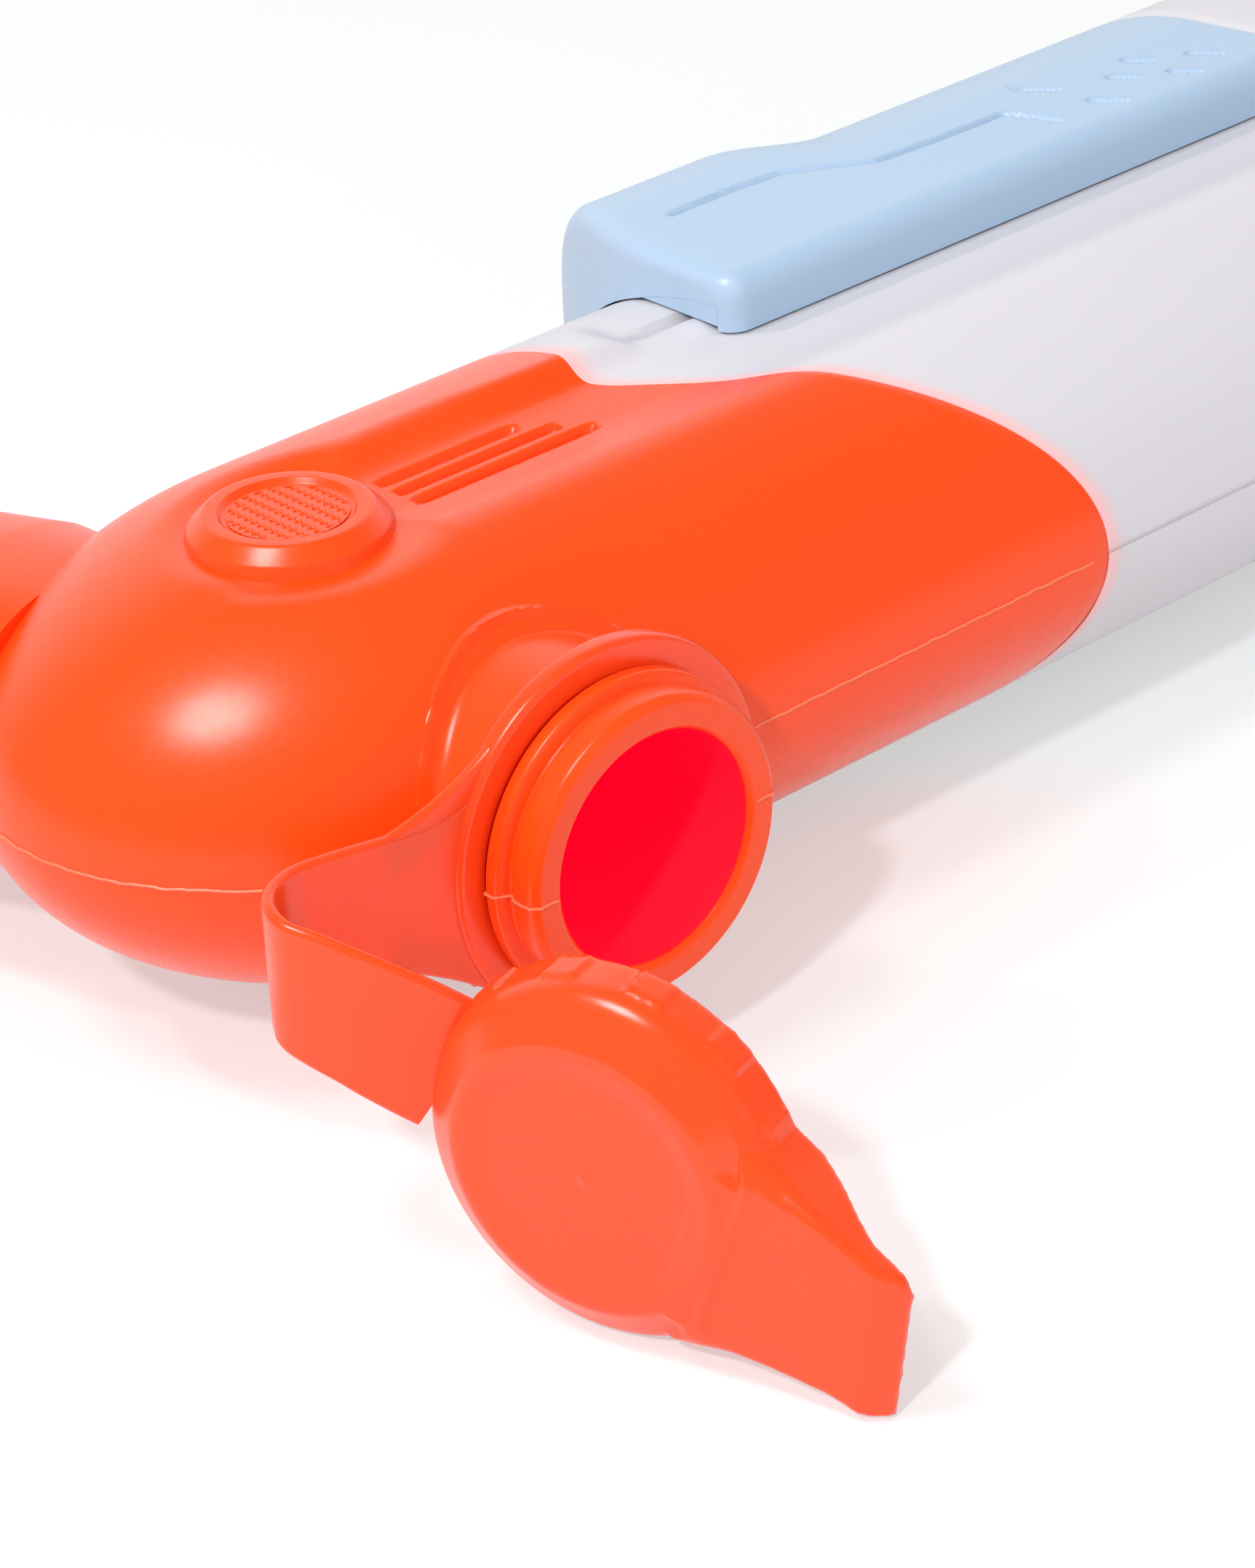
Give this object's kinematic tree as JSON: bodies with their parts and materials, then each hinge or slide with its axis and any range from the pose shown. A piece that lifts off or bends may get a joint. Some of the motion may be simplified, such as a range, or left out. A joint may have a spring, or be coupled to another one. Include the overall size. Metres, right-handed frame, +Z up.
{
  "type": "water squirter",
  "caption": "Toy water squirter lying on its side: oval tank with open filler neck and strapped cap, raked grip, shell casing and sliding pump handle.",
  "frame": {"origin": "on the floor under the middle of the bounds", "axes": "+X towards the muzzle, +Y towards the toy's underside and grip, +Z up from the floor it lies on"},
  "size_m": [0.266, 0.2038, 0.0532],
  "materials": {
    "tank": "blow-moulded, satin gloss",
    "soft": "soft moulded, satin gloss",
    "casing": "moulded, satin",
    "handle": "moulded, satin",
    "natural": "moulded",
    "clear": "clear tube",
    "seal": "moulded rubber",
    "steel": "plain steel"
  },
  "bodies": {
    "body": {"tank": "tank", "casing_left": "casing", "casing_right": "casing", "casing_screw_1": "steel", "casing_screw_2": "steel", "casing_screw_3": "steel", "casing_screw_4": "steel", "casing_screw_5": "steel", "pump_cylinder": "clear", "rod_guide": "natural", "pump_head": "natural", "outlet_valve_body": "natural", "outlet_valve_spring": "steel", "inlet_valve_body": "natural", "inlet_valve_spring": "steel", "outlet_grommet": "seal", "pickup_tube": "clear", "suction_hose": "clear", "nozzle": "tank", "nozzle_collar": "tank"},
    "pump": {"pump_handle_left": "handle", "pump_handle_right": "handle", "handle_screw_1": "steel", "handle_screw_2": "steel", "pump_carriage": "natural", "piston_rod": "natural", "piston": "natural", "piston_ring": "seal"},
    "inlet_ball": {"inlet_valve_ball": "steel"},
    "outlet_ball": {"outlet_valve_ball": "steel"},
    "ring": {"strap_ring": "soft"},
    "closure": {"strap_lead": "soft", "cap": "soft"}
  },
  "joints": [
    {"name": "pump_slide", "type": "slide", "parent": "body", "child": "pump", "axis": [-1, 0, 0], "range_m": [0, 0.032]},
    {"name": "inlet_ball_lift", "type": "slide", "parent": "body", "child": "inlet_ball", "axis": [1, 0, 0], "range_m": [0, 0.0015], "stiffness_N_per_m": 20, "deforming": ["inlet_valve_spring"]},
    {"name": "outlet_ball_lift", "type": "slide", "parent": "body", "child": "outlet_ball", "axis": [1, 0, 0], "range_m": [0, 0.0015], "stiffness_N_per_m": 20, "deforming": ["outlet_valve_spring"]},
    {"name": "ring_turn", "type": "hinge", "parent": "body", "child": "ring", "pos_m": [-0.07833, -0.03947, 0.0266], "axis": [0, 1, 0], "range_deg": [-20, 150]},
    {"name": "cap_swing", "type": "hinge", "parent": "ring", "child": "closure", "pos_m": [-0.11842, -0.04108, 0.0306], "axis": [0, 0, 1], "range_deg": [-40, 35]}
  ]
}
